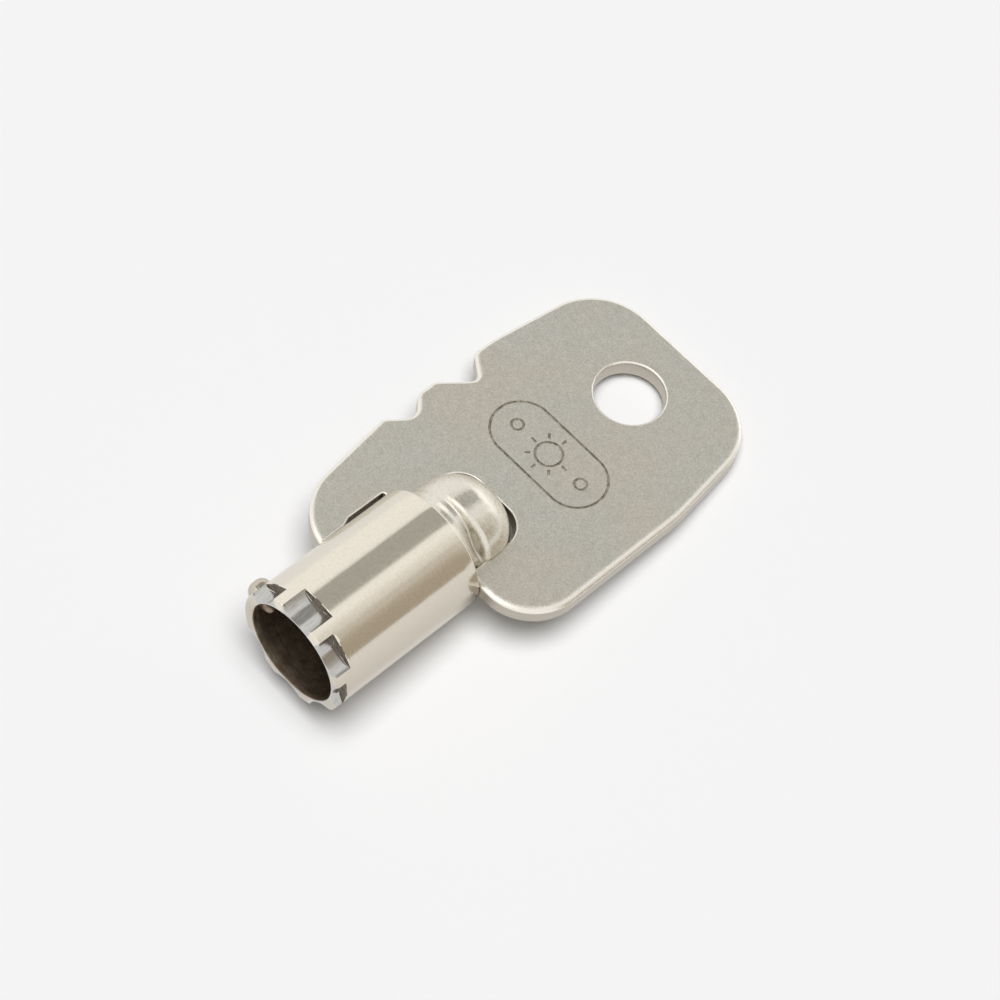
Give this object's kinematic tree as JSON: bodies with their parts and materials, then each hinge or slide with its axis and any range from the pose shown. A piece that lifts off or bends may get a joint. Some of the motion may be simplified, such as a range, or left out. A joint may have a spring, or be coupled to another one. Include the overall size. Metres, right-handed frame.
{
  "type": "tubular key",
  "caption": "Key for a tubular pin-tumbler lock: a hollow turned barrel with tip cuts and locating nibs, staked into a flat stamped bow with a ring hole.",
  "frame": {"origin": "centre of the whole key's box, on the barrel's axis, which lies in the bow's mid-plane", "axes": "+Y along the barrel from its cut tip towards the bow's far end, +X across the bow away from its notches, +Z normal to the bow's faces"},
  "size_m": [0.019, 0.0378, 0.0094],
  "materials": {
    "bow_nickel": "satin nickel plating over stamped steel, with fine grain along the bow and faint mottling",
    "barrel_nickel": "bright nickel plating over turned steel, with bare milled steel in the tip cuts"
  },
  "bodies": {
    "root": {"bow": "bow_nickel", "barrel": "barrel_nickel"}
  },
  "joints": []
}
